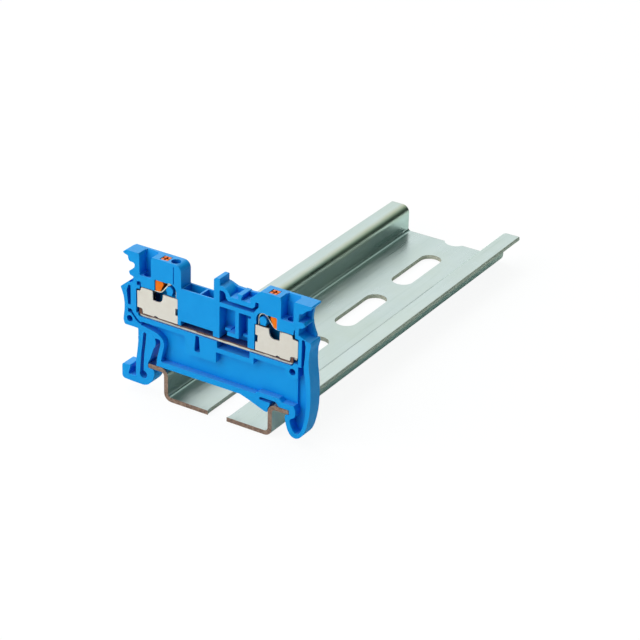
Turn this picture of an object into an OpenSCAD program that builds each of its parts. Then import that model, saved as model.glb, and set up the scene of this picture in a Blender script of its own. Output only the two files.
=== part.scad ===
// Push-in feed-through terminal block on a perforated top-hat rail.
// X runs across the rail, Y along it, Z up. Origin: centre of the rail's
// middle full slot on its underside. The block sits at the -Y end with its
// open side facing -Y. Millimetres.

/* [Rail] */
// Length of the piece of rail
rail_length = 100; // [50:5:300]
// Length of each slot in the rail, over the round ends
slot_length = 18; // [12:0.5:20]
// Width of each slot
slot_width = 5.2; // [4.2:0.1:6.2]
// Distance between slot centres
slot_pitch = 25; // [22:0.5:36]
// Centre of the first slot from the block's end of the rail
first_slot = 7.5; // [5:0.5:12]

/* [Block] */
// Thickness of the block along the rail (its pitch)
block_thickness = 3.5; // [3.4:0.1:4.2]
// Thickness of the closed wall on the far side
back_wall = 0.65; // [0.6:0.05:0.7]
// Depth of the sunk panel in the lower body
panel_depth = 1.5; // [0.8:0.1:2.0]
// Gap kept between the block and the rail
rail_gap = 0.08; // [0.05:0.01:0.12]

/* [Openings] */
// Bore of the conductor entries
wire_bore = 2.0; // [1.6:0.05:2.1]
// Bore of the test plug hole
test_bore = 2.1; // [1.8:0.05:2.1]
// Bore of the two stacking peg holes
peg_bore = 1.5; // [1.3:0.05:1.6]

/* [Metal] */
// Thickness of the current bar
bar_thickness = 0.7; // [0.5:0.05:0.72]
// Sheet thickness of the clamp cages
cage_sheet = 0.3; // [0.2:0.05:0.3]
// Strip thickness of the springs
spring_strip = 0.22; // [0.15:0.01:0.24]

/* [Button] */
// Width of the release button
button_width = 1.9; // [1.7:0.05:1.9]
// Play each side of the button in its shaft
button_play = 0.05; // [0.03:0.01:0.08]
// Depth of the cross recess in the button's head
recess_depth = 0.45; // [0.2:0.05:0.8]

/* [Hidden] */
$fn = 48;

blue = [0.13, 0.55, 0.88];
orange = [0.96, 0.48, 0.06];
tin = [0.86, 0.84, 0.80];
steel = [0.78, 0.80, 0.82];
zinc = [0.76, 0.80, 0.78];
copper = [0.72, 0.60, 0.54];

// top-hat rail, 35 x 7.5 x 1
rail_height = 7.5;
rail_sheet = 1;
base_half = 27 / 2;
flange_x = 35 / 2;
bend_inner = 0.8;
bend_outer = bend_inner + rail_sheet;
tip_radius = 0.3;
rail_end_y = -(first_slot + 2 * slot_pitch);

// block; y counts from the rail's -Y end
wall_y = block_thickness - back_wall;   // inner face of the closed wall
top_z = 32.5;
mirror_x = -0.5;                        // mirror line of the two clamps
entry_y = (0.45 + wall_y - 0.4) / 2;
wire_x = -18.1;
test_x = -11.3;
left_peg = [-22.2, 16.75];
right_peg = [18.2, 16.65];

// grip on the rail
hook_top = rail_height + rail_gap;
hook_bottom = rail_height - rail_sheet - rail_gap;
hook_x = flange_x + rail_gap + 0.02;
nose_x = base_half - rail_sheet - rail_gap - 0.02;
underside_z = hook_top + 0.02;

// release foot and its round root
foot_x = -17.85;
foot_z = 12.9;
foot_radius = 2.25;
foot_gap = 0.03;

// current bar; right end and rims as placed before mirroring
bar_z = 18.05;
bar_y0 = 0.3;
bar_y1 = wall_y - 0.35;
bar_bend = 0.9;
bar_left_end = -19.9;
bar_right_end = -19.2;
channel_z = bar_z - 0.08;

// clamp: spring loop around its core, leg, cage
loop_x = -12;
loop_z = 26.15;
core_radius = 0.85;
leg_radius = 1.07;
loop_radius = 1.345;
spring_y0 = 0.5;
spring_y1 = wall_y - 0.45;
leg_y0 = spring_y0 + 0.05;
leg_y1 = spring_y1 - 0.05;
cage_y0 = 0.15;
cage_y1 = wall_y - 0.1;
cage_outer_x = -20.3;
cage_inner_x = -10.1;
cage_z = 18.9;
right_cage_shift = 0.45;

// button; a rim is the outer side of the window in front of its wedge
button_x = -14.75;
button_y0 = 0.6;
button_y1 = wall_y - 0.45;
button_top = top_z - 0.05;
left_rim = -15.8;
right_rim = -15.3;
cross_length = 1.5;
cross_width = 0.44;

// ------------------------------------------------------------- helpers
// moves a piece from the rail's end to the common origin
module placed() translate([0, rail_end_y, 0]) children();

// 2-D shape drawn in X and Z, given thickness from y0 to y1.
// Cuts start at y = -1, clear of the open side.
module xz(y0, y1) translate([0, y1, 0]) rotate([90, 0, 0])
  linear_extrude(height = y1 - y0) children();
module box(x0, x1, y0, y1, z0, z1) translate([x0, y0, z0]) cube([x1 - x0, y1 - y0, z1 - z0]);
module rect(x0, x1, z0, z1) translate([x0, z0]) square([x1 - x0, z1 - z0]);
// cylinder along Y, starting at y; spot is [x, z]
module rod(spot, y, length, radius) translate([spot[0], y, spot[1]])
  rotate([-90, 0, 0]) cylinder(h = length, r = radius);
// the right-hand clamp is the left-hand one mirrored
module mirrored() translate([2 * mirror_x, 0, 0]) mirror([1, 0, 0]) children();

function arc(x, z, radius, from, to, steps) = [for (i = [0 : steps])
  let (angle = from + (to - from) * i / steps)
  [x + radius * cos(angle), z + radius * sin(angle)]];
// cubic curve without its start point
function bezier(start, pull1, pull2, end, steps) = [for (i = [1 : steps])
  let (t = i / steps, u = 1 - t)
  u * u * u * start + 3 * u * u * t * pull1 + 3 * u * t * t * pull2 + t * t * t * end];
function unit(v) = v / norm(v);

// direction of a centre line at point i, and the line set off to one side
function heading(line, i) =
  i == 0 ? unit(line[1] - line[0])
  : i == len(line) - 1 ? unit(line[i] - line[i - 1])
  : unit(unit(line[i + 1] - line[i]) + unit(line[i] - line[i - 1]));
function beside(line, distance) = [for (i = [0 : len(line) - 1])
  let (ahead = heading(line, i)) line[i] + distance * [-ahead[1], ahead[0]]];
// a strip of even thickness bent along a centre line
module strip(line, thickness) {
  other_side = beside(line, -thickness / 2);
  polygon(concat(beside(line, thickness / 2),
    [for (i = [len(line) - 1 : -1 : 0]) other_side[i]]));
}

// shortest signed turn between two angles
function turn(from, to) = let (change = to - from)
  change > 180 ? change - 360 : change < -180 ? change + 360 : change;
// points of one rounded corner; the setback never takes over 0.46 of a side
function rounded(before, corner, after, radius) = let (
    to_before = unit(before - corner),
    to_after = unit(after - corner),
    half = acos(max(-1, min(1, to_before * to_after))) / 2,
    setback = min(radius / tan(half), 0.46 * min(norm(before - corner), norm(after - corner))))
  (radius <= 0 || half > 88) ? [corner] : let (
    centre = corner + unit(to_before + to_after) * setback / cos(half),
    fitted = setback * tan(half),
    start = corner + setback * to_before - centre,
    end = corner + setback * to_after - centre,
    angle = atan2(start[1], start[0]),
    sweep = turn(angle, atan2(end[1], end[0])),
    steps = max(1, ceil(abs(sweep) / 16)))
  [for (i = [0 : steps])
    centre + fitted * [cos(angle + sweep * i / steps), sin(angle + sweep * i / steps)]];
// closed outline with rounded corners: each point is [x, z] or
// [x, z, corner radius]; radius serves where the point gives none
function soft(points, radius = 0) = let (
    count = len(points),
    flat = [for (point = points) [point[0], point[1]]])
  [for (i = [0 : count - 1]) each rounded(
    flat[(i + count - 1) % count], flat[i], flat[(i + 1) % count],
    is_undef(points[i][2]) ? radius : points[i][2])];
module soft_shape(points, radius = 0) polygon(soft(points, radius));

// ---------------------------------------------------------------- rail
module bend(x, z, angle) translate([x, z]) rotate(angle) intersection() {
  difference() {
    circle(bend_outer);
    circle(bend_inner);
  }
  square(bend_outer + 1);
}
module half_profile() {
  tip_x = flange_x - tip_radius;
  tip_z0 = rail_height - rail_sheet + tip_radius;
  tip_z1 = rail_height - tip_radius;
  upper_bend_x = base_half - rail_sheet + bend_outer;
  square([base_half - bend_outer, rail_sheet]);
  bend(base_half - bend_outer, bend_outer, -90);
  rect(base_half - rail_sheet, base_half, bend_outer, rail_height - bend_outer);
  bend(upper_bend_x, rail_height - bend_outer, 90);
  rect(upper_bend_x, tip_x, rail_height - rail_sheet, rail_height);
  rect(tip_x - 0.01, flange_x, tip_z0, tip_z1);
  for (z = [tip_z0, tip_z1]) translate([tip_x, z]) circle(tip_radius);
}
module slot_cut(y) translate([0, y, -1]) {
  straight = slot_length - slot_width;
  depth = rail_sheet + 2;
  translate([-slot_width / 2, -straight / 2, 0]) cube([slot_width, straight, depth]);
  for (side = [-1, 1])
    translate([0, side * straight / 2, 0]) cylinder(h = depth, r = slot_width / 2);
}
module din_rail() color(zinc) placed() difference() {
  xz(0, rail_length) {
    half_profile();
    mirror([1, 0]) half_profile();
  }
  for (k = [0 : ceil(rail_length / slot_pitch)]) slot_cut(first_slot + k * slot_pitch);
}

// ------------------------------------------------------------- housing
// [x, z, corner radius], clockwise seen from the open side
housing_outline = [
  // left marking wing and its teeth
  [-23.85, 31.85, 0.25], [-22.75, top_z, 0.3],
  // left tower
  [-9.1, top_z, 1.5], [-9.1, 27.45, 0.2],
  // bridge shafts, middle post
  [-1.0, 27.45, 0.12], [-1.0, 32.45, 1.2], [0.45, 32.45, 0.1], [0.45, 31.0, 0.1],
  // marker groove with its two T ribs
  [1.1, 30.9], [1.8, 30.65], [2.4, 30.2], [2.8, 29.7], [3.0, 29.15, 0.1],
  [4.95, 29.15, 0.1], [4.95, 29.85, 0.1], [4.7, 30.0, 0.05], [4.7, 30.35, 0.12],
  [5.95, 30.35, 0.12], [5.95, 30.0, 0.05], [5.7, 29.85, 0.1], [5.7, 29.15, 0.1],
  [7.85, 29.15, 0.12], [7.85, 30.25, 0.15], [8.3, 30.6], [9.9, 32.1], [10.4, top_z, 0.3],
  // right tower and wing
  [22.6, top_z, 0.3], [22.15, 31.75, 0.3], [21.1, 31.2], [20.4, 30.45], [19.45, 30.1, 0.15],
  [19.4, 28.4, 0.2], [20.6, 28.35, 0.3], [21.05, 27.7, 0.3], [20.2, 27.1],
  [19.5, 26.95, 0.15], [19.45, 25.4, 0.15], [20.0, 25.15],
  // outer leg
  [20.8, 24.75], [21.5, 24.55], [22.4, 24.4, 0.25], [22.45, 23.6], [22.1, 22.2],
  [22.0, 20.0], [22.15, 18.0], [22.42, 16.0], [22.6, 14.0], [22.68, 11.5], [22.62, 9.5],
  [22.45, 7.8], [22.15, 6.1], [21.75, 4.5], [21.25, 3.2], [20.6, 2.25], [19.95, 1.7],
  [19.2, 1.46], [18.4, 1.62], [17.75, 2.2], [17.25, 3.1], [16.9, 4.2], [16.66, 5.3],
  [16.6, 6.0], [16.95, hook_bottom, 0.2],
  // slot for the right flange, spring slit and locating nose
  [hook_x, hook_bottom, 0.15], [hook_x, hook_top, 0.15], [15.2, hook_top, 0.2],
  [14.75, 8.1], [14.3, 8.5, 0.35], [10.35, 8.5, 0.35], [10.35, 7.78, 0.3],
  [12.95, 7.75, 0.15], [12.8, 7.05], [nose_x, 6.35, 0.3], [nose_x, 5.4, 0.3],
  [11.6, 5.5, 0.3], [8.0, 6.85], [5.6, underside_z, 0.8],
  // underside, web beside the foot
  [-15.45, underside_z, 0], [-15.3, 9.2], [-14.35, 13.0, 0.6], [-14.45, 14.0, 0.6],
  [-15.7, 14.05, 0.5], [-16.4, 12.2], [-20.05, 12.2],
  // stacking boss and left shoulder
  [-20.05, 15.1, 0.2], [-23.55, 15.1, 0.5], [-23.85, 16.2], [-23.55, 18.5], [-23.5, 20.0],
  [-23.7, 21.6], [-24.15, 22.9], [-24.5, 23.65, 0.3], [-23.2, 24.75], [-21.35, 26.3, 0.2],
  [-21.0, 26.75, 0.2], [-22.0, 27.05, 0.2], [-22.3, 27.75, 0.3], [-20.9, 28.95, 0.2],
  [-20.75, 29.7, 0.3], [-21.1, 30.05, 0.2], [-22.1, 30.1, 0.3], [-22.4, 30.6],
  [-22.5, 31.3, 0.2], [-23.3, 31.5, 0.2]];

// the closed wall behind the marker groove and the right teeth
module back_web() {
  polygon([[0.2, 27], [0.2, 31.0], [1.2, 30.85], [2.8, 30.25], [6.6, 30.15], [8.0, 30.3],
    [8.6, 30.9], [9, 27]]);
  soft_shape([[19.3, 31.9], [21.5, 31.9], [21.1, 30.6], [20.85, 29.2], [20.82, 28.1],
    [21.0, 27.1], [21.35, 26.0], [21.75, 25.1], [21.95, 24.5], [19.3, 24.5]], 1);
}

// body with stacking pegs on the closed side
module housing_body() {
  xz(0, block_thickness) soft_shape(housing_outline, 1.2);
  xz(wall_y, block_thickness) back_web();
  for (spot = [left_peg, right_peg])
    rod(spot, block_thickness - 0.2, 0.8, peg_bore / 2 - 0.08);
}

// seat of the flexing foot
module foot_seat() {
  seat_radius = foot_radius + foot_gap;
  rod([foot_x, foot_z], -1, block_thickness + 2, seat_radius);
  box(-21, foot_x + seat_radius, -1, block_thickness + 1, 12, foot_z);
}

// sunk panel of the lower body, left full around the right peg hole
module panel() difference() {
  soft_shape([[-19.3, 15.98, 0.15], [-18.4, 15.88], [-16.2, 15.5], [-14.95, 15.15],
    [-14.1, 14.55], [-13.6, 13.85], [-13.42, 13.0], [-13.6, 12.1], [-14.0, 10.5],
    [-14.35, 8.85, 0.35], [9.3, 8.85, 0.3], [9.9, 9.5, 0.3], [15.1, 9.5, 0.4],
    [16.0, 8.85, 0.5], [18.3, 8.8], [18.8, 8.9, 0], [18.8, 16.95, 0], [8.8, 16.95, 0.15],
    [8.8, 15.45, 0.2], [-0.4, 15.45, 0.2], [-0.4, 12.9, 0.3], [-8.2, 12.9, 0.3],
    [-8.2, 16.9, 0.15], [-19.3, 16.9, 0.15]], 1.5);
  translate(right_peg) circle(1.7);
  rect(17.2, 19, right_peg[1], 17);
}
// the deeper run down the outer leg
module leg_run() soft_shape([[18.7, 9.1, 0], [18.7, 15.025, 0], [19.0, 15.15, 0],
  [19.3, 15.354, 0], [19.55, 15.617, 0], [19.55, 18.25, 0.15], [20.35, 18.3, 0],
  [20.35, 18.8, 0], [20.78, 18.8, 0], [20.85, 18.2, 0.15], [21.15, 16.5], [21.45, 14.5],
  [21.66, 12.5], [21.72, 10.8], [21.64, 8.8], [21.4, 6.6], [21.0, 4.9], [20.5, 3.5],
  [19.9, 2.65], [19.1, 2.6], [18.45, 3.3], [18.0, 4.3], [17.75, 5.25, 0.3], [18.15, 5.85],
  [18.9, 6.15], [19.12, 7.0], [19.05, 8.0], [18.7, 8.7, 0.2]], 0.8);

// hollows of the upper body around the marker groove and the test cells
module hollow_shapes() {
  soft_shape([[0.4, 27.2, 0.12], [0.4, 29.95, 0.25], [1.35, 29.95, 0.3], [1.85, 29.5],
    [2.0, 28.6], [2.5, 28.1, 0.4], [8.3, 28.1, 0.4], [8.95, 28.6], [9.1, 29.75, 0.2],
    [9.9, 29.75, 0.25], [9.9, 28.75], [9.3, 28.1], [8.7, 27.2, 0.2]], 0.4);
  soft_shape([[0.4, 18.85, 0], [0.4, 26.3, 0.2], [4.3, 26.3, 0.15], [4.3, 21.0, 0.12],
    [2.35, 21.0, 0.1], [2.35, 20.2, 0.1], [5.15, 20.2, 0.1], [5.15, 26.2, 0.15],
    [7.35, 26.2, 0.1], [7.35, 18.85, 0]]);
  rect(7.3, 8.05, 25.6, 26.2);
  rect(-9.2, -1.15, 18.5, 20.05);
}
module hollows() difference() {
  xz(-1, wall_y - 0.25) hollow_shapes();
  // low ribs standing in the test cells
  box(1.1, 2.5, 1.1, block_thickness, 20.55, 21.2);
  box(5.5, 7.6, 1.1, block_thickness, 20.45, 21.05);
}

// small sinks at the shoulders of both clamps
module shoulder_sinks() {
  xz(-1, 0.8) {
    soft_shape([[-20.3, 25.15], [-20.35, 25.9], [-19.9, 26.15], [-19.4, 26.1],
      [-19.4, 25.15]], 0.15);
    soft_shape([[-21.95, 25.2], [-21.15, 25.9], [-21.0, 26.3], [-21.35, 26.35],
      [-22.25, 25.55]], 0.1);
  }
  xz(-1, 1.0) {
    polygon([[-19.6, 24.9], [-19.45, 26.05], [-19.2, 26.05], [-19.25, 24.9]]);
    polygon([[18.35, 24.3], [18.2, 24.9], [18.25, 25.5], [18.4, 26.2], [18.65, 26.25],
      [18.6, 25.5], [18.65, 24.9], [18.7, 24.3]]);
  }
}

// slots beside the cages, and the slots under the bar
module side_slots() {
  soft_shape([[-22.45, 24.6, 0.2], [-21.9, 24.6, 0.1], [-21.9, 20.0, 0.1],
    [-22.6, 20.0, 0.15], [-22.95, 23.2, 0.5]]);
  soft_shape([[-22.65, 19.1, 0.15], [-21.75, 19.1, 0.2], [-21.15, 18.15], [-20.3, 17.3],
    [-19.6, 16.75, 0.2], [-18.7, 16.6, 0], [-18.7, 16.25, 0], [-19.7, 16.25],
    [-20.55, 16.75], [-21.75, 18.1, 0.2], [-22.65, 18.25, 0.15]], 0.4);
  soft_shape([[20.3, 24.65, 0.3], [20.95, 24.65, 0.35], [21.2, 23.2], [21.12, 21.0],
    [20.85, 18.4, 0.1], [20.25, 18.4, 0.1]], 0.8);
  soft_shape([[-5.5, 17.75, 0.1], [-4.65, 17.75, 0.1], [-4.35, 14.0, 0.4],
    [-5.8, 14.0, 0.4]]);
  soft_shape([[-0.25, 18.2, 0], [-0.1, 16.5, 0.3], [7.85, 16.5, 0.3], [7.85, 18.2, 0]]);
}

module bar_channel() xz(-1, bar_y1 + 0.1) {
  rect(-19.5, 17.8, channel_z, 18.95);
  // [outer x, inner x] of the round-cornered ends
  for (end = [[-20.05, -18.6], [18.45, 17.0]])
    soft_shape([[end[0], channel_z, 0.9], [end[1], channel_z, 0], [end[1], 20.0, 0],
      [end[0], 20.0, 0]]);
}

// room for one clamp, left-hand side: cage, spring loop, wedge of the button
module clamp_room(rim, rim_radius) difference() {
  union() {
    xz(-1, wall_y) {
      soft_shape([[-20.5, 18.7], [-20.5, 24.35, 0.1], [-19.6, 24.4, 0.1],
        [-19.5, 25.05, 0.1], [rim, 25.08], [rim, 27.65, rim_radius], [loop_x, 27.65],
        [loop_x, loop_z], [-10.32, loop_z], [-10.32, 24.85], [-9.95, 24.85],
        [-9.95, 18.7]]);
      translate([loop_x, loop_z]) circle(1.66);
    }
    box(-15.8, -14.0, 0.5, wall_y, 24.9, 27.65);
  }
  // core the spring is wound around
  xz(-2, wall_y + 1) {
    translate([loop_x, loop_z]) circle(core_radius);
    rect(loop_x - 0.6, loop_x + 0.65, 25.1, loop_z);
  }
}
// ways down into the clamp: conductor bore, button shaft
module clamp_ways() {
  wire_radius = wire_bore / 2;
  translate([wire_x, entry_y, 24.5]) cylinder(h = 3.5, r = wire_radius);
  translate([wire_x, entry_y, 26.7]) cylinder(h = 0.95, r1 = wire_radius, r2 = wire_radius + 0.15);
  box(button_x - button_play, button_x + button_width + button_play,
    button_y0 - button_play, button_y1 + button_play, 27.4, top_z + 1);
}

// conductor funnel, open to the near side; its closed wall leans back
// towards the top
module funnel(x0, x1, z0) {
  depth = entry_y + wire_bore / 2;
  xz(-1, depth) soft_shape([[x0, z0, 0.4], [x1, z0, 0.35], [x1, 31.95, 0.8],
    [x1 + 0.7, 33.2], [x0 - 0.5, 33.2], [x0, 31.95, 0.8]]);
  // drawn in Y and Z
  translate([x0, 0, 0]) rotate([90, 0, 90]) linear_extrude(height = x1 - x0)
    polygon([[0.5, 30.9], [depth, 30.9], [wall_y + 0.1, top_z + 0.05], [wall_y + 0.1, 33],
      [0.5, 33]]);
}

// test plug hole and the witness groove on the near face
module test_ways() {
  translate([test_x, entry_y, 28.4]) cylinder(h = 5, r = test_bore / 2);
  translate([test_x, entry_y, 27.0]) cylinder(h = 2, r = 0.45);
  box(-11.12, -10.88, -1, 0.2, 27.9, 31.8);
}

module housing() color(blue) placed() difference() {
  housing_body();
  foot_seat();
  xz(-1, panel_depth) panel();
  xz(-1, panel_depth + 0.55) leg_run();
  hollows();
  shoulder_sinks();
  xz(-1, wall_y - 0.65) side_slots();
  bar_channel();
  clamp_room(left_rim, rim_radius = 0.1);
  mirrored() clamp_room(right_rim, rim_radius = 0.3);
  clamp_ways();
  mirrored() clamp_ways();
  funnel(-19.6, -16.65, 27.6);
  funnel(15.2, 18.2, 27.7);
  // bridge shafts
  for (shaft = [[-8.75, -4.75], [-4.3, -1.4]])
    box(shaft[0], shaft[1], 0.35, block_thickness - 0.4, 18.5, 28);
  test_ways();
  // stacking peg holes
  for (spot = [left_peg, right_peg]) rod(spot, -1, 3, peg_bore / 2);
  // sunk field on the closed side
  xz(block_thickness - 0.2, block_thickness + 1)
    polygon([[-12.6, 10.0], [-12.6, 16.4], [16.2, 16.4], [16.2, 10.8], [15.2, 10.0]]);
}

// ---------------------------------------------------------------- foot
// [x, z, corner radius]
foot_outline = [
  [-20.05, foot_z, 0], [-20.08, 12.0], [-20.3, 10.0], [-20.65, 7.5], [-20.75, 5.5],
  [-20.75, 3.45, 0.2], [-22.75, 3.45, 0.25], [-22.5, 4.4], [-22.1, 5.65, 0.25],
  [-24.35, 5.6, 0.55], [-24.35, 2.1, 0.8], [-22.0, 1.98], [-18.7, 1.95], [-17.6, 2.35],
  [-16.75, 3.3], [-16.2, 4.3], [-16.0, 5.3], [-16.15, hook_bottom, 0.6],
  [-flange_x - 0.1, hook_bottom, 0.2], [-flange_x - 0.1, 7.75, 0.2], [-17.15, 8.4],
  [-16.55, 10.2], [-15.95, 12.1], [foot_x + foot_radius, foot_z, 0]];

module release_foot() color(blue) placed() difference() {
  union() {
    xz(0, block_thickness) soft_shape(foot_outline, 1.2);
    rod([foot_x, foot_z], 0, block_thickness, foot_radius);
  }
  // long relief slot ending in a round hole
  xz(-1, block_thickness + 1) {
    soft_shape([[-18.75, 14.55, 0.35], [-17.95, 14.55, 0.35], [-18.2, 12.0], [-18.55, 9.5],
      [-18.72, 7.0], [-18.75, 4.6, 0], [-19.7, 4.6, 0], [-19.55, 7.0], [-19.35, 9.5],
      [-19.0, 12.0]], 4);
    translate([-18.83, 4.5]) circle(0.95);
  }
}

// --------------------------------------------------------------- metal
// half of the bar, turned up at its end; end_x is the end's outer face
module bar_half(end_x) {
  rect(end_x + bar_bend, mirror_x + 0.01, bar_z, bar_z + bar_thickness);
  translate([end_x + bar_bend, bar_z + bar_bend]) intersection() {
    difference() {
      circle(bar_bend);
      circle(bar_bend - bar_thickness);
    }
    translate([-1, -1]) square(1);
  }
  rect(end_x, end_x + bar_thickness, bar_z + bar_bend, 19.9);
}
// tongue standing in the cage, joined to the upturned end at end_x
module bar_tongue(end_x) {
  tongue_x = bar_left_end;
  box(tongue_x, tongue_x + bar_thickness, leg_y0, leg_y1, 19.3, 23.4);
  box(tongue_x, end_x + bar_thickness, leg_y0, leg_y1, 19.3, 19.9);
}
module current_bar() color(copper) placed() union() {
  xz(bar_y0, bar_y1) {
    bar_half(bar_left_end);
    translate([2 * mirror_x, 0]) mirror([1, 0]) bar_half(bar_right_end);
  }
  bar_tongue(bar_left_end);
  mirrored() bar_tongue(bar_right_end);
}

// the cages are alike but for their outer corners and window: shift is how
// far the right one's differ from the left one's
module cage_plate(shift) soft_shape([[cage_outer_x, 20.0, 0.1], [cage_outer_x, 23.85, 0.15],
  [-19.5 + shift, 23.95, 0.1], [-19.3 + shift, 24.8, 0.3], [-16.5, 24.8, 0],
  [-16.45, 24.65, 0], [cage_inner_x, 24.65, 0.12], [cage_inner_x, cage_z, 0.1],
  [-18.9 + shift, cage_z, 0.1], [-19.0 + shift, 19.8, 0.15], [-19.4 + shift, 20.0, 0.1]]);
module cage(shift) difference() {
  union() {
    xz(cage_y0, cage_y0 + cage_sheet) cage_plate(shift);
    xz(cage_y1 - cage_sheet, cage_y1) cage_plate(shift);
    box(cage_outer_x, cage_outer_x + cage_sheet, cage_y0, cage_y1, 20.1, 23.75);
    box(cage_inner_x - cage_sheet, cage_inner_x, cage_y0, cage_y1, cage_z + 0.1, 24.5);
  }
  // window under the button's wedge
  xz(-1, wall_y) translate([shift, 0]) soft_shape([[-16.45, 25.5, 0], [-16.35, 22.65, 0.15],
    [-14.9, 22.55], [-14.2, 22.85], [-13.85, 23.6], [-13.65, 25.5, 0]], 0.8);
  // the rear plate is cut lower
  xz(cage_y1 - cage_sheet - 0.1, wall_y) rect(-17.4 + shift, -11.7, 21.0, 26);
  // relief at the fold, and a locating nick on the bar
  xz(-1, cage_y0 + 1.1) rect(-10.65, -10, 20.8, 22.4);
  xz(-1, cage_y0 + cage_sheet + 0.1) polygon([[-16.05, 18], [-16.05, 19.0],
    [-15.75, 19.15], [-15.35, 19.15], [-15.05, 19.0], [-15.05, 18]]);
}
module clamp_cage_left() color(tin) placed() cage(0);
module clamp_cage_right() color(tin) placed() mirrored() cage(right_cage_shift);

// around the core, down the cage's inner side and out along the bar
loop_side_x = loop_x + loop_radius;
loop_line = concat(arc(loop_x, loop_z, loop_radius, 128, 0, 16), [[loop_side_x, 22.5]],
  arc(loop_side_x - 0.5, 19.52, 0.5, 0, -90, 5), [[-14, 19.02], [-16.6, 19.02]]);
module spring_loop() xz(spring_y0, spring_y1) strip(loop_line, spring_strip);
module spring_loop_left() color(steel) placed() spring_loop();
module spring_loop_right() color(steel) placed() mirrored() spring_loop();

// from inside the loop, outwards and down towards the bar's tongue
leg_turn = 140;
leg_start = arc(loop_x, loop_z, leg_radius, 95, leg_turn, 6);
leg_exit = leg_start[len(leg_start) - 1];
leg_line = concat(leg_start,
  bezier(leg_exit, leg_exit + 1.5 * [-sin(leg_turn), cos(leg_turn)],
    [-14.2, 24.84], [-14.9, 24.83], 9),
  [[-15.6, 24.8], [-16.3, 24.76]],
  bezier([-16.3, 24.76], [-16.6, 24.74], [-16.85, 24.55], [-17.05, 24.33], 4),
  [[-18.0, 23.3], [-18.95, 22.3]]);
module clamping_leg() xz(leg_y0, leg_y1) strip(leg_line, spring_strip);
module clamping_leg_left() color(steel) placed() clamping_leg();
module clamping_leg_right() color(steel) placed() mirrored() clamping_leg();

// -------------------------------------------------------------- button
// [x, z] down the wedge's inner side
heel = [[-13.7, 26.85], [-13.95, 26.35], [-14.15, 25.9], [-14.25, 25.55], [-14.55, 25.12]];

module button_body() {
  side_x = button_x + button_width;
  chamfer = 0.15;
  xz(button_y0, button_y1) polygon(concat(
    [[button_x, button_top - chamfer], [button_x + chamfer, button_top],
      [side_x - chamfer, button_top], [side_x, button_top - chamfer],
      [side_x, 28.75], [-13.1, 28.05], [-13.3, 27.45]],
    heel,
    [[-15.5, 25.1], [-15.7, 25.3], [-15.7, 27.3], [-15.5, 27.5], [button_x, 27.5]]));
}
// the wedge stands forward to meet the cage's window
module button_wedge(rim) xz(0.2, button_y0 + 0.05) polygon(concat(
  [[-13.65, 27.2], [-13.7, 27.0]],
  heel,
  [[rim + 0.3, 25.1], [rim + 0.1, 25.3], [rim + 0.1, 27.35], [rim + 0.3, 27.5],
    [-13.9, 27.5]]));
module button(rim) {
  centre_x = button_x + button_width / 2;
  centre_y = (button_y0 + button_y1) / 2;
  difference() {
    union() {
      button_body();
      button_wedge(rim);
    }
    // cross recess for the screwdriver
    for (arm = [[cross_length, cross_width], [cross_width, cross_length]])
      translate([centre_x - arm[0] / 2, centre_y - arm[1] / 2, button_top - recess_depth])
        cube([arm[0], arm[1], 2]);
  }
}
module release_button_left() color(orange) placed() button(left_rim);
module release_button_right() color(orange) placed() mirrored() button(right_rim);

din_rail();
housing();
release_foot();
current_bar();
clamp_cage_left();
clamp_cage_right();
spring_loop_left();
spring_loop_right();
clamping_leg_left();
clamping_leg_right();
release_button_left();
release_button_right();
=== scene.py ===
"""Spring-clamp terminal block on a length of DIN rail.

Metres, +Z up. The rail runs along Y with its front end towards -Y, and X goes
across it: left is -X, right is +X. The floor lies just under z = 0.
"""
import math
import bpy
from mathutils import Matrix, Vector

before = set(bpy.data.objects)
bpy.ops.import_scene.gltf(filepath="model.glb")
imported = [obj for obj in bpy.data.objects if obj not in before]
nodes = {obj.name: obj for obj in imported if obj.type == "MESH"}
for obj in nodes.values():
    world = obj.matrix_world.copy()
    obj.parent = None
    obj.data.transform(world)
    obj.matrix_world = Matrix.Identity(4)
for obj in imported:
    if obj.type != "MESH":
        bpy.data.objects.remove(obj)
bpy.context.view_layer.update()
MM = 0.001
scene = bpy.context.scene

WHITE = (1, 1, 1, 1)
MID = (0.3, 0.7)        # the band most noise values fall in
CORE = (0.35, 0.65)     # a tighter band, for more contrast


# ------------------------------------------------------------ shader helpers
class Graph:
    """Adds nodes to a tree; any input takes either a value or a socket."""

    def __init__(self, tree):
        self.tree = tree

    def feed(self, socket, value):
        if isinstance(value, bpy.types.NodeSocket):
            self.tree.links.new(value, socket)
        else:
            socket.default_value = value

    def node(self, kind, inputs=None, **settings):
        made = self.tree.nodes.new(kind)
        for key, value in settings.items():
            setattr(made, key, value)
        for key, value in (inputs or {}).items():
            self.feed(made.inputs[key], value)
        return made

    def remap(self, value, span, to=(0.0, 1.0), **settings):
        """Carry the range span over to the range to, clamped at both ends."""
        inputs = {"From Min": span[0], "From Max": span[1],
                  "To Min": to[0], "To Max": to[1], "Value": value}
        return self.node("ShaderNodeMapRange", inputs, **settings).outputs["Result"]

    def math(self, operation, a, b=0.0):
        return self.node("ShaderNodeMath", {0: a, 1: b}, operation=operation).outputs[0]

    def times(self, a, b):
        return self.math("MULTIPLY", a, b)

    def near(self, value, place, reach):
        """1 where value is within reach of place."""
        operation = "ADD" if place < 0 else "SUBTRACT"
        gap = self.math("ABSOLUTE", self.math(operation, value, abs(place)))
        return self.math("LESS_THAN", gap, reach)

    def mix(self, factor, under, over):
        # inputs 6 and 7 and output 2 are the colour sockets
        inputs = {0: factor, 6: under, 7: over}
        return self.node("ShaderNodeMix", inputs, data_type="RGBA").outputs[2]

    def split(self, vector):
        """The X, Y and Z outputs of a vector."""
        return self.node("ShaderNodeSeparateXYZ", {0: vector}).outputs


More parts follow.
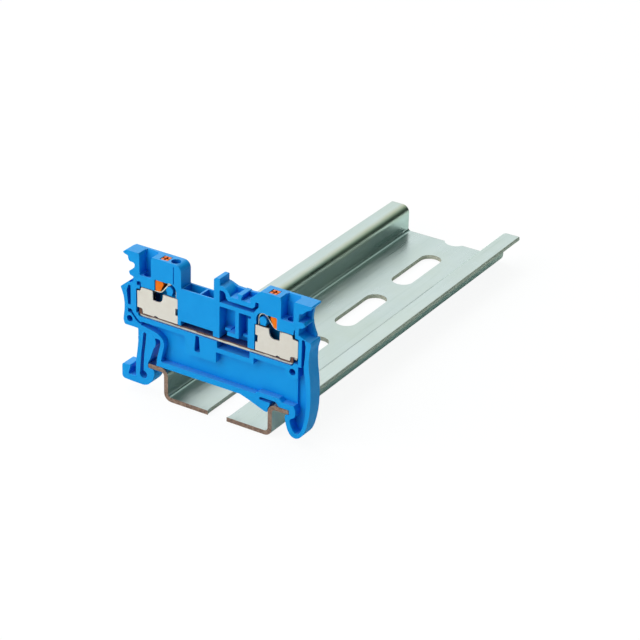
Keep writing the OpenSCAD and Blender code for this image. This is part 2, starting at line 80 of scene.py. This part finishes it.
class Shader(Graph):
    """A material with a principled surface."""

    def __init__(self, name):
        self.mat = bpy.data.materials.new(name)
        self.mat.use_nodes = True
        super().__init__(self.mat.node_tree)
        self.tree.nodes.clear()
        self.out = self.node("ShaderNodeOutputMaterial")
        self.bsdf = self.node("ShaderNodeBsdfPrincipled")
        self.feed(self.out.inputs["Surface"], self.bsdf.outputs[0])
        self.place = self.node("ShaderNodeTexCoord").outputs["Object"]

    def surface(self, inputs):
        for key, value in inputs.items():
            self.feed(self.bsdf.inputs[key], value)

    def coords(self, x=1, y=1, z=1):
        """Object coordinates, scaled along each axis."""
        inputs = {"Scale": (x, y, z), "Vector": self.place}
        return self.node("ShaderNodeMapping", inputs).outputs["Vector"]

    def noise(self, vector, scale, detail, rough=0.55):
        inputs = {"Scale": scale, "Detail": detail, "Roughness": rough, "Vector": vector}
        return self.node("ShaderNodeTexNoise", inputs).outputs["Fac"]

    def bump(self, height, distance, strength, normal=None):
        inputs = {"Strength": strength, "Distance": distance, "Height": height}
        if normal is not None:
            inputs["Normal"] = normal
        return self.node("ShaderNodeBump", inputs).outputs["Normal"]

    def face_normal(self):
        geometry = self.node("ShaderNodeNewGeometry")
        return self.split(geometry.outputs["True Normal"])

    def edges(self, radius):
        """1 on edges and corners, 0 on flat faces."""
        rounded = self.node("ShaderNodeBevel", {"Radius": radius}, samples=6)
        geometry = self.node("ShaderNodeNewGeometry")
        inputs = {0: rounded.outputs["Normal"], 1: geometry.outputs["Normal"]}
        match = self.node("ShaderNodeVectorMath", inputs, operation="DOT_PRODUCT")
        return self.remap(match.outputs["Value"], span=(0.7, 0.995), to=(1.0, 0.0))

    def hollow(self, distance, span):
        """1 deep in a recess or crevice, 0 out in the open."""
        occlusion = self.node("ShaderNodeAmbientOcclusion", {"Distance": distance}, samples=6)
        return self.remap(occlusion.outputs["AO"], span, to=(1.0, 0.0))


def srgb(*channels):
    """A linear colour from 0-255 sRGB channels."""
    def linear(c):
        return c / 12.92 if c <= 0.04045 else ((c + 0.055) / 1.055) ** 2.4
    return tuple(linear(c / 255) for c in channels) + (1.0,)


# ----------------------------------------------------------------- materials
def plastic(name, colour, deep, shade, rough):
    """Moulded plastic: clouded with deep, painted shade in the recesses, painted pale
    highlights on the edges.
    """
    s = Shader(name)
    plain = s.coords()
    cloud = s.noise(plain, scale=260, detail=3)
    fleck = s.noise(plain, scale=2600, detail=2)
    col = s.mix(s.remap(cloud, CORE, to=(0.0, 0.35)), colour, deep)
    # painted highlight: edges and corners are lightened towards a paler copy of the colour
    edge_highlight = s.edges(radius=0.00012)
    light = tuple(min(1.0, c * 1.35 + 0.02) for c in colour[:3]) + (1.0,)
    col = s.mix(s.times(edge_highlight, 0.35), col, light)
    # a little painted sheen, pale and light, on faces that look up
    level = s.remap(s.face_normal()["Z"], span=(0.9, 1.0), to=(0.0, 0.10))
    top_sheen = s.times(level, s.remap(fleck, MID, to=(0.6, 1.0)))
    col = s.mix(top_sheen, col, srgb(214, 218, 220))
    # painted shade: recesses and crevices are mixed towards the shade colour
    recess = s.hollow(distance=0.0028, span=(0.2, 0.8))
    col = s.mix(s.times(recess, 0.8), col, shade)
    roughness = s.math("ADD", s.remap(cloud, MID, to=(rough - 0.05, rough + 0.07)),
                       s.remap(fleck, MID, to=(-0.03, 0.03)))
    grain = s.noise(plain, scale=9000, detail=3)
    waves = s.bump(cloud, distance=0.00002, strength=0.5)
    s.surface({
        "Base Color": col,
        "Roughness": roughness,
        "IOR": 1.5,
        "Specular IOR Level": 0.17,
        "Subsurface Weight": 0.0,
        "Subsurface Radius": (0.0006, 0.0009, 0.0012),
        "Subsurface Scale": 1.0,
        "Normal": s.bump(grain, distance=0.000004, strength=0.6, normal=waves),
    })
    return s.mat


def metal(name, colour, tint, shade, rough, metallic, squeeze, scale):
    """Streaked sheet metal; squeeze packs the streaks closer along Y."""
    s = Shader(name)
    streak = s.noise(s.coords(y=squeeze), scale, detail=5, rough=0.6)
    cloud = s.noise(s.coords(), scale=90, detail=3)
    col = s.mix(s.remap(cloud, CORE, to=(0.0, 0.3)), colour, tint)
    col = s.mix(s.remap(streak, span=(0.4, 0.75), to=(0.0, 0.22)), col, tint)
    # painted shade: recesses and crevices are mixed towards the shade colour
    recess = s.hollow(distance=0.004, span=(0.2, 0.6))
    col = s.mix(s.times(recess, 0.93), col, shade)
    roughness = s.math("ADD", s.remap(streak, MID, to=(rough - 0.06, rough + 0.08)),
                       s.remap(cloud, MID, to=(-0.04, 0.04)))
    s.surface({
        "Base Color": col,
        "Metallic": metallic,
        "Roughness": roughness,
        "Normal": s.bump(streak, distance=0.000003, strength=0.7),
    })
    return s.mat


BAR_FRONT_Y = -0.0572
BAR_COPPER_Z = (0.01842, 0.01850)   # heights over which tin gives way to copper


def bar_tin():
    """Tin plate over copper; the upper part of the front edge is bare copper."""
    s = Shader("tinned_copper")
    streak = s.noise(s.coords(y=6), scale=700, detail=5, rough=0.6)
    cloud = s.noise(s.coords(), scale=300, detail=3)
    col = s.mix(s.remap(streak, span=(0.35, 0.75), to=(0.0, 0.6)),
                srgb(226, 216, 206), srgb(196, 170, 154))
    at = s.split(s.place)
    front = s.near(at["Y"], BAR_FRONT_Y, reach=0.00008)
    ragged = s.math("ADD", at["Z"], s.remap(cloud, MID, to=(-0.00009, 0.00009)))
    bare = s.remap(ragged, BAR_COPPER_Z)
    copper = s.mix(s.remap(streak, MID), srgb(126, 82, 64), srgb(98, 60, 48))
    bare = s.times(front, bare)
    col = s.mix(bare, col, copper)
    # painted shade: the bar's top and its recesses are mixed towards dark blue
    recess = s.hollow(distance=0.006, span=(0.35, 0.8))
    col = s.mix(s.times(recess, 0.94), col, srgb(14, 62, 124))
    s.surface({
        "Base Color": col,
        "Metallic": s.remap(bare, span=(0, 1), to=(0.6, 0.3)),
        "Roughness": s.math("ADD", s.remap(streak, MID, to=(0.30, 0.42)), s.times(bare, 0.2)),
        "Normal": s.bump(streak, distance=0.000003, strength=0.7),
    })
    return s.mat


RAIL_FRONT_Y = -0.0575
RAIL_BACK_Y = 0.0425
RAIL_END_REACH = 0.00003            # how close to an end plane counts as the end
RAIL_RIM_X = 0.0173                 # the long edges lie beyond this, on both sides
RAIL_SLOT_X = 0.0028                # the punched slots lie within this
RAIL_BEND_X = (-0.0150, -0.0138)    # olive tint fades in rightwards and upwards
RAIL_BEND_Z = (0.0052, 0.0071)
RAIL_WALL_X = (0.0128, 0.0131)      # outer side of the right wall, below WALL_TOP
RAIL_WALL_TOP = 0.0064
SHEARED_COVER = 0.9                 # strength of the sheared-edge finish


def rail_zinc():
    """Zinc plate rolled along the rail; the sheared ends show bare brown steel."""
    s = Shader("zinc_plated_steel")
    along = s.noise(s.coords(y=0.03), scale=1500, detail=5, rough=0.6)
    broad = s.noise(s.coords(y=0.08), scale=160, detail=3, rough=0.5)
    cloud = s.noise(s.coords(), scale=55, detail=4, rough=0.6)
    spangle = s.node("ShaderNodeTexVoronoi", {"Scale": 700, "Vector": s.coords(y=0.5)})
    # pale zinc, then a warm cloud, dark rolling lines and bright spangle
    col = s.mix(s.remap(broad, MID, to=(0.0, 0.6)), srgb(214, 225, 224), srgb(196, 210, 206))
    col = s.mix(s.remap(cloud, span=(0.45, 0.75), to=(0.0, 0.35)), col, srgb(200, 208, 186))
    col = s.mix(s.remap(along, span=(0.55, 0.8), to=(0.0, 0.18)), col, srgb(150, 166, 156))
    col = s.mix(s.remap(spangle.outputs["Distance"], span=(0.0, 1.0), to=(0.0, 0.12)),
                col, srgb(230, 236, 232))

    # both sheared ends
    at = s.split(s.place)
    front = s.near(at["Y"], RAIL_FRONT_Y, RAIL_END_REACH)
    rear = s.near(at["Y"], RAIL_BACK_Y, RAIL_END_REACH)
    end = s.math("MAXIMUM", front, rear)
    rust = s.noise(s.coords(), scale=2200, detail=4, rough=0.65)
    brown = s.mix(s.remap(rust, CORE), srgb(170, 136, 118), srgb(120, 92, 80))

    # long edges and the walls of the punched slots
    face = s.face_normal()
    side = s.math("ABSOLUTE", at["X"])
    upright = s.math("LESS_THAN", s.math("ABSOLUTE", face["Z"]), 0.6)
    rim = s.math("GREATER_THAN", side, RAIL_RIM_X)
    slot = s.times(s.math("LESS_THAN", side, RAIL_SLOT_X), upright)
    sheared = s.math("MAXIMUM", rim, slot)
    col = s.mix(s.times(sheared, SHEARED_COVER), col,
                s.mix(s.remap(rust, CORE), srgb(206, 200, 184), srgb(172, 164, 146)))

    # an olive tint over the bend on the left
    bend = s.times(s.remap(at["X"], RAIL_BEND_X), s.math("LESS_THAN", at["X"], 0.0))
    bent = s.times(s.times(s.remap(at["Z"], RAIL_BEND_Z), bend),
                   s.remap(cloud, MID, to=(0.25, 0.6)))
    col = s.mix(bent, col, srgb(182, 176, 120))

    # painted light: the outer side of the right wall, below the flange, is made pale and matt
    # so that it shows lighter
    lightened_wall = s.times(s.remap(at["X"], RAIL_WALL_X),
                    s.math("LESS_THAN", at["Z"], RAIL_WALL_TOP))
    lightened_wall = s.times(lightened_wall, 0.9)
    col = s.mix(lightened_wall, col, srgb(222, 222, 208))
    col = s.mix(end, col, brown)

    dull = s.math("MAXIMUM", s.times(sheared, SHEARED_COVER), lightened_wall)
    metallic = s.remap(s.math("MAXIMUM", end, dull), span=(0, 1), to=(1.0, 0.35))
    polish = s.math("ADD", s.remap(along, MID, to=(0.26, 0.40)),
                    s.remap(cloud, MID, to=(-0.05, 0.06)))
    matt = s.times(s.math("MAXIMUM", end, dull), 0.6)
    waves = s.bump(cloud, distance=0.00002, strength=0.25)
    s.surface({
        "Base Color": col,
        "Metallic": metallic,
        "Roughness": s.math("MAXIMUM", polish, matt),
        "Normal": s.bump(along, distance=0.000004, strength=0.6, normal=waves),
    })
    return s.mat


blue = plastic("blue_polyamide", colour=srgb(6, 154, 230), deep=srgb(0, 142, 222),
               shade=srgb(0, 94, 208), rough=0.45)
orange = plastic("orange_plastic", colour=srgb(250, 120, 4), deep=srgb(236, 98, 0),
                 shade=srgb(150, 52, 0), rough=0.42)
nickel = metal("nickel_plated_sheet", colour=srgb(234, 220, 212), tint=srgb(222, 205, 193),
               shade=srgb(0, 34, 96), rough=0.5, metallic=0.35, squeeze=1, scale=900)
spring = metal("spring_steel", colour=srgb(240, 234, 226), tint=srgb(214, 204, 194),
               shade=srgb(40, 54, 84), rough=0.3, metallic=0.55, squeeze=8, scale=600)
tin = bar_tin()
zinc = rail_zinc()

# node: material, width of the softened edge in mm
FINISH = {
    "din_rail": (zinc, 0.11),
    "housing": (blue, 0.08),
    "release_foot": (blue, 0.08),
    "current_bar": (tin, 0.05),
    "clamp_cage_left": (nickel, 0.04),
    "clamp_cage_right": (nickel, 0.04),
    "spring_loop_left": (spring, 0.02),
    "spring_loop_right": (spring, 0.02),
    "clamping_leg_left": (spring, 0.02),
    "clamping_leg_right": (spring, 0.02),
    "release_button_left": (orange, 0.05),
    "release_button_right": (orange, 0.05),
}
FLAT_ANGLE = math.radians(0.4)      # faces closer than this are merged
EDGE_ANGLE = math.radians(32)       # edges sharper than this are softened


def finish_part(part, material, edge_width):
    """Give a part its material, clean flat faces and softened edges."""
    part.data.materials.clear()
    part.data.materials.append(material)
    flatten = part.modifiers.new("flatten", "DECIMATE")
    flatten.decimate_type = "DISSOLVE"
    flatten.angle_limit = FLAT_ANGLE
    soften = part.modifiers.new("soften", "BEVEL")
    soften.width = edge_width
    soften.segments = 2
    soften.limit_method = "ANGLE"
    soften.angle_limit = EDGE_ANGLE
    soften.use_clamp_overlap = True
    soften.miter_outer = "MITER_ARC"
    shade = part.modifiers.new("shade", "WEIGHTED_NORMAL")
    shade.mode = "FACE_AREA"
    shade.weight = 60
    shade.keep_sharp = True
    for polygon in part.data.polygons:
        polygon.use_smooth = True


for name, (material, width_mm) in FINISH.items():
    finish_part(nodes[name], material, width_mm * MM)


# --------------------------------------------------------------------- floor
FLOOR_HALF = 3.0
FLOOR_Z = -0.0003


def floor_paper():
    """Paper lit from behind, as on a light table: the shadows stay faint."""
    s = Shader("floor_paper")
    mottle = s.noise(s.coords(), scale=30, detail=3)
    ray = s.node("ShaderNodeLightPath").outputs
    pale = s.mix(s.remap(mottle, MID), (0.90, 0.90, 0.90, 1), (0.92, 0.92, 0.92, 1))
    # what the parts see: light grey, greener in reflections
    seen = s.mix(ray["Is Glossy Ray"], (0.66, 0.68, 0.68, 1), (0.72, 0.84, 0.78, 1))
    s.surface({"Base Color": s.mix(ray["Is Camera Ray"], seen, pale), "Roughness": 0.9})
    glow = s.node("ShaderNodeEmission", {"Color": WHITE, "Strength": 1.02})
    # the glow shows to the camera only, and covers most of the paper
    blend = s.node("ShaderNodeMixShader", {
        0: s.times(ray["Is Camera Ray"], 0.90), 1: s.bsdf.outputs[0], 2: glow.outputs[0]})
    s.feed(s.out.inputs["Surface"], blend.outputs[0])
    return s.mat


def build_floor():
    mesh = bpy.data.meshes.new("floor")
    corners = [(x * FLOOR_HALF, y * FLOOR_HALF, 0)
               for x, y in ((-1, -1), (1, -1), (1, 1), (-1, 1))]
    mesh.from_pydata(corners, [], [(0, 1, 2, 3)])
    floor = bpy.data.objects.new("floor", mesh)
    floor.location = (0, 0, FLOOR_Z)
    scene.collection.objects.link(floor)
    mesh.materials.append(floor_paper())


build_floor()


# -------------------------------------------------------------------- lights
def disk_light(name, place, target, size, power, colour=(1, 1, 1)):
    light = bpy.data.lights.new(name, "AREA")
    light.shape = "DISK"
    light.size = size
    light.energy = power
    light.color = colour
    lamp = bpy.data.objects.new(name, light)
    lamp.location = place
    lamp.rotation_mode = "QUATERNION"
    lamp.rotation_quaternion = (Vector(target) - Vector(place)).to_track_quat("-Z", "Y")
    scene.collection.objects.link(lamp)
    return lamp


disk_light("key", place=(-0.42, -0.85, 0.58), target=(0, -0.03, 0.01), size=1.1, power=7.3)
disk_light("top", place=(-0.40, 0.10, 0.95), target=(0, 0, 0), size=0.6, power=2.6)
fill = disk_light("fill", place=(0.95, -0.10, 0.28), target=(0, 0, 0.02), size=0.9,
                  power=1.5, colour=(0.30, 0.80, 1.0))
fill.visible_glossy = False


def build_world():
    """Soft room light, bright above and to the left; plain white to the camera."""
    world = bpy.data.worlds.new("studio")
    scene.world = world
    world.use_nodes = True
    g = Graph(world.node_tree)
    room = g.tree.nodes["Background"]
    direction = g.node("ShaderNodeTexCoord").outputs["Generated"]
    bright_side = (-0.85, 0.15, 0.50)
    facing = g.node("ShaderNodeVectorMath", {0: direction, 1: bright_side},
                    operation="DOT_PRODUCT")
    strength = g.remap(facing.outputs["Value"], span=(-0.15, 0.70), to=(0.03, 0.95),
                       interpolation_type="SMOOTHSTEP")
    g.feed(room.inputs["Strength"], strength)
    # greenish where dim, near white where bright
    tone = g.mix(strength, (0.52, 1.0, 0.82, 1), (0.97, 1.0, 1.0, 1))
    g.feed(room.inputs["Color"], tone)
    backdrop = g.node("ShaderNodeBackground", {"Color": WHITE, "Strength": 1.0})
    ray = g.node("ShaderNodeLightPath").outputs
    choice = g.node("ShaderNodeMixShader", {
        0: ray["Is Camera Ray"], 1: room.outputs[0], 2: backdrop.outputs[0]})
    g.feed(g.tree.nodes["World Output"].inputs["Surface"], choice.outputs[0])


build_world()


# -------------------------------------------------------------------- camera
def add_camera(azimuth, elevation, roll, place_mm, lens):
    """Angles in degrees; azimuth turns from the front (-Y) towards the right."""
    camera = bpy.data.objects.new("camera", bpy.data.cameras.new("camera"))
    scene.collection.objects.link(camera)
    camera.data.clip_start = 0.01
    camera.data.clip_end = 20
    a, e, r = (math.radians(angle) for angle in (azimuth, elevation, roll))
    back = Vector((math.sin(a) * math.cos(e), -math.cos(a) * math.cos(e), math.sin(e)))
    right = Vector((math.cos(a), math.sin(a), 0))
    up = back.cross(right)
    x = math.cos(r) * right + math.sin(r) * up
    y = -math.sin(r) * right + math.cos(r) * up
    pose = Matrix((x, y, back)).transposed().to_4x4()
    pose.translation = Vector(place_mm) * MM
    camera.matrix_world = pose
    camera.data.sensor_width = 36.0
    camera.data.lens = lens
    scene.camera = camera


add_camera(azimuth=31.47, elevation=27.54, roll=1.65,
           place_mm=(239.4, -408.8, 245.1), lens=132.58125)

scene.view_settings.view_transform = "Standard"
